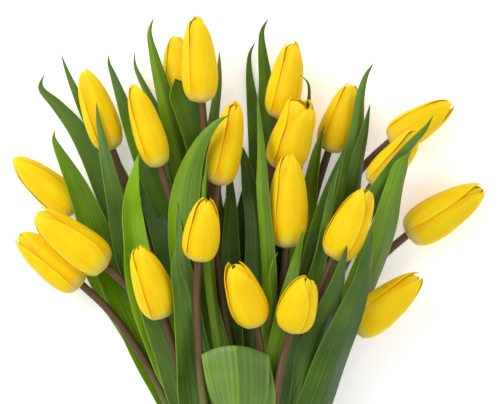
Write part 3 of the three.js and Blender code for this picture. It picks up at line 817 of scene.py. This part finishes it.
class Solids:
    """What is already there, for finding the room left in between."""

    LEVEL = 1.0 * MM  # between the heights that are tried
    SPARE = 1.5 * MM  # room kept over and under each solid
    STEEPEST = 0.55  # rise of a leaf over its run
    ACROSS = (-0.9, -0.45, 0.0, 0.45, 0.9)  # where a leaf is tried, as shares of half its width

    # What a height costs a leaf, for each point tried there.
    INTO_SOLID = 12
    OVER_FLOWER = 3.0
    OVER_GREEN = 0.45  # over a stem or a leaf that clasps one
    OVER_FILLER = 0.2

    # What it costs once for each place along the leaf.
    ON_FLOOR = 9
    PER_STEP = 0.02  # times the square of the levels risen or fallen

    def __init__(self):
        self.trees = []
        self.levels = int(CAD_BOX[1][2] / self.LEVEL)

    def add(self, mesh, covering):
        """Counts a closed mesh as being there. covering is the cost of lying over it."""
        bm = bmesh.new()
        bm.from_mesh(mesh)
        self.trees.append((BVHTree.FromBMesh(bm), covering))
        bm.free()

    def costs(self, points):
        """What it costs to put the points at each level."""
        costs = [0.0] * self.levels
        for x, y in points:
            for tree, covering in self.trees:
                height = 0.0
                walls = []
                while True:
                    hit = tree.ray_cast(Vector((x, y, height)), Vector((0, 0, 1)))[0]
                    if hit is None:
                        break
                    walls.append(hit.z)
                    height = hit.z + 1e-5
                for low, high in zip(walls[::2], walls[1::2]):
                    for level in range(self.levels):
                        if low - self.SPARE < level * self.LEVEL < high + self.SPARE:
                            costs[level] += self.INTO_SOLID
                        elif level * self.LEVEL > high:
                            costs[level] += covering
        costs[0] += self.ON_FLOOR
        return costs

    def thread(self, plan, width):
        """Stations of a leaf along a plan line, at the heights where the least is in its way."""
        halves = []
        for k in range(len(plan)):
            share = k / (len(plan) - 1)
            halves.append(width / 2 * (0.2 + 0.8 * smoothstep(0, 0.5, share)) * (1 - share**3) ** 0.8)
        costs = []
        sides = []
        for k, point in enumerate(plan):
            way = (plan[min(k + 1, len(plan) - 1)] - plan[max(k - 1, 0)]).normalized()
            side = Vector((way.y, -way.x, 0)).normalized()
            sides.append(side)
            across = [point + side * halves[k] * share for share in self.ACROSS]
            costs.append(self.costs([(p.x, p.y) for p in across]))
        rows = [[[cost, None] for cost in costs[0]]]
        for k in range(1, len(plan)):
            run = (plan[k] - plan[k - 1]).to_2d().length
            reach = max(1, int(run * self.STEEPEST / self.LEVEL))
            row = []
            for level in range(self.levels):
                near = range(max(0, level - reach), min(self.levels, level + reach + 1))
                steps = {other: rows[-1][other][0] + self.PER_STEP * (other - level) ** 2 for other in near}
                source = min(near, key=steps.get)
                total = steps[source] + costs[k][level]
                row.append([total, source])
            rows.append(row)
        level = min(range(self.levels), key=lambda other: rows[-1][other][0])
        heights = []
        for row in reversed(rows):
            heights.append(level * self.LEVEL)
            level = row[level][1]
        heights.reverse()
        near = [heights[max(0, k - 1) : k + 2] for k in range(len(plan))]
        heights = [sum(some) / len(some) for some in near]
        stations = []
        for point, side, half, height in zip(plan, sides, halves, heights):
            rib = Vector((point.x, point.y, height))
            rim = Vector((0, 0, half * FILLER_CHANNEL))
            stations.append(Station(rib - side * half + rim, rib + side * half + rim, rib))
        return stations


class TULIPS_OT_leaves(bpy.types.Operator):
    """Build the leaves that clasp the stems and the ones between the stems"""

    bl_idname = "tulips.leaves"
    bl_label = "Leaves"

    def execute(self, context):
        settings = context.scene.tulip_leaves
        # A darker copy of the middle green for the dark leaves: partly the own dark green of some leaves, partly
        # painted shade on the filler leaves deep in the bunch.
        dark_green_and_shade = [channel * 0.55 for channel in settings.middle]
        greens = {
            "dark": leaf_material("leaf_dark", settings.dark, dark_green_and_shade, settings.grey, 0.05, settings),
            "middle": leaf_material("leaf_middle", settings.dark, settings.middle, settings.grey, 0.16, settings),
            "fresh": leaf_material("leaf_fresh", settings.dark, settings.middle, settings.bright, 0.55, settings),
            "bright": leaf_material("leaf_bright", settings.middle, settings.bright, settings.bright, 0.3, settings),
            "grey": leaf_material("leaf_grey", settings.dark, settings.middle, settings.grey, 0.7, settings),
            "light": leaf_material("leaf_light", settings.dark, settings.bright, settings.grey, 0.62, settings),
        }
        for pair in LEAF_PAIRS:
            dice = random.Random(pair)
            row, turn = stations_of(pair)
            kinds = GREENS.get(pair, (dice.choice(["middle", "grey", "dark"]), dice.choice(["middle", "fresh"])))
            name = pair.replace("_leaves_", "_leaf_")
            if pair == FOLDED:
                if row[0].rib.z > row[-1].rib.z:
                    row.reverse()
                material = greens[kinds[1]]
                make_leaf(name, row, settings, material, dice, [pair], FOLD_RIPPLE, FOLD_PLACE, FOLD_ARCH)
                continue
            for letter, stations, kind in zip("ab", (row[turn - 1 :: -1], row[turn + 1 :]), kinds):
                make_leaf(f"{name}_{letter}", stations, settings, greens[kind], dice, [pair])
        self.fill(settings, greens)
        return {"FINISHED"}

    def fill(self, settings, greens):
        """The narrower leaves deeper in the bunch, each threaded between two stems through the room there is."""
        solids = Solids()
        for node_name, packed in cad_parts.items():
            if packed.type == "MESH":
                solids.add(packed.data, solids.OVER_FLOWER if node_name.endswith("_flower") else solids.OVER_GREEN)
        for number, (one, other, weight, start, end, width, green) in enumerate(FILLERS):
            dice = random.Random(f"filler {number}")
            lines = [stem_line(f"tulip_{one:02d}"), stem_line(f"tulip_{other:02d}")]
            plan = []
            for k in range(FILLER_STATIONS):
                share = start + (end - start) * k / (FILLER_STATIONS - 1)
                point = smooth_at(lines[0], share).lerp(smooth_at(lines[1], share), weight)
                plan.append(point)
            stations = solids.thread(plan, width * MM)
            name = f"filling_leaf_{number + 1:02d}"
            leaf = make_leaf(name, stations, settings, greens[green], dice, [], FILLER_RIPPLE)
            solids.add(leaf.data, solids.OVER_FILLER)


# Stage

SENSOR = 36.0  # width of the camera's sensor, in millimetres
FLOOR_REACH = 6.0
KEY_PLACE = Vector((-0.95, 0.6, 1.2))  # from the point of the floor that the camera looks at
KEY_SIZE = 1.2
FILL_PLACE = Vector((0.95, -0.5, 1.1))
FILL_SIZE = 1.3


def soft_light(name, place, target, size, power):
    """A square light that looks at a point."""
    data = bpy.data.lights.new(name, "AREA")
    data.shape = "SQUARE"
    data.size = size
    data.energy = power
    light = bpy.data.objects.new(name, data)
    light.location = place
    light.rotation_euler = (Vector(target) - Vector(place)).to_track_quat("-Z", "Y").to_euler()
    bpy.context.scene.collection.objects.link(light)
    return light


class TULIPS_OT_stage(bpy.types.Operator):
    """Set up the floor, the lights and the camera"""

    bl_idname = "tulips.stage"
    bl_label = "Stage"

    def execute(self, context):
        settings = context.scene.tulip_stage
        scene = context.scene
        low, high = CAD_BOX
        width = high[0] - low[0]
        bm = bmesh.new()
        bmesh.ops.create_grid(bm, x_segments=1, y_segments=1, size=FLOOR_REACH)
        mesh = bpy.data.meshes.new("floor")
        bm.to_mesh(mesh)
        bm.free()
        mesh.materials.append(floor_material(settings))
        floor = bpy.data.objects.new("floor", mesh)
        scene.collection.objects.link(floor)

        centre = Vector((low[0] + width * settings.view_right, high[1] - width * settings.view_down, 0.0))
        camera_data = bpy.data.cameras.new("camera")
        camera_data.sensor_width = SENSOR
        half_height = (high[2] - low[2]) / 2
        camera_data.lens = SENSOR * (settings.camera_height - half_height) / (width * settings.view_share)
        camera_data.clip_end = 50.0
        camera = bpy.data.objects.new("camera", camera_data)
        camera.location = centre + Vector((0, 0, settings.camera_height))
        scene.collection.objects.link(camera)
        scene.camera = camera

        soft_light("key_light", centre + KEY_PLACE, centre, KEY_SIZE, settings.key_power)
        soft_light("fill_light", centre + FILL_PLACE, centre, FILL_SIZE, settings.fill_power)
        world = bpy.data.worlds.new("studio")
        world.use_nodes = True
        world.node_tree.nodes["Background"].inputs["Color"].default_value = (1.0, 1.0, 1.0, 1.0)
        world.node_tree.nodes["Background"].inputs["Strength"].default_value = settings.sky
        scene.world = world
        scene.view_settings.view_transform = "Standard"
        return {"FINISHED"}


class TULIPS_PT_bunch(bpy.types.Panel):
    """The bunch's sizes and colours, and the buttons that build it"""

    bl_idname = "TULIPS_PT_bunch"
    bl_label = "Bunch of Tulips"
    bl_space_type = "VIEW_3D"
    bl_region_type = "UI"
    bl_category = "Tulips"

    def draw(self, context):
        groups = (
            ("tulip_stage", "tulips.stage"),
            ("tulip_stems", "tulips.stems"),
            ("tulip_leaves", "tulips.leaves"),
            ("tulip_petals", "tulips.petals"),
        )
        for group, operator in groups:
            box = self.layout.box()
            settings = getattr(context.scene, group)
            for name in settings.__annotations__:
                box.prop(settings, name)
            box.operator(operator)


CLASSES = (
    TulipPetalSettings,
    TulipStemSettings,
    TulipLeafSettings,
    TulipStageSettings,
    TULIPS_OT_stage,
    TULIPS_OT_stems,
    TULIPS_OT_leaves,
    TULIPS_OT_petals,
    TULIPS_PT_bunch,
)

GROUPS = {
    "tulip_petals": TulipPetalSettings,
    "tulip_stems": TulipStemSettings,
    "tulip_leaves": TulipLeafSettings,
    "tulip_stage": TulipStageSettings,
}


def register():
    for cls in CLASSES:
        bpy.utils.register_class(cls)
    for name, group in GROUPS.items():
        setattr(bpy.types.Scene, name, PointerProperty(type=group))


def unregister():
    for name in GROUPS:
        delattr(bpy.types.Scene, name)
    for cls in reversed(CLASSES):
        bpy.utils.unregister_class(cls)


def main():
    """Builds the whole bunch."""
    register()
    bpy.ops.tulips.stage()
    bpy.ops.tulips.stems()
    bpy.ops.tulips.leaves()
    bpy.ops.tulips.petals()


if __name__ == "__main__":
    main()
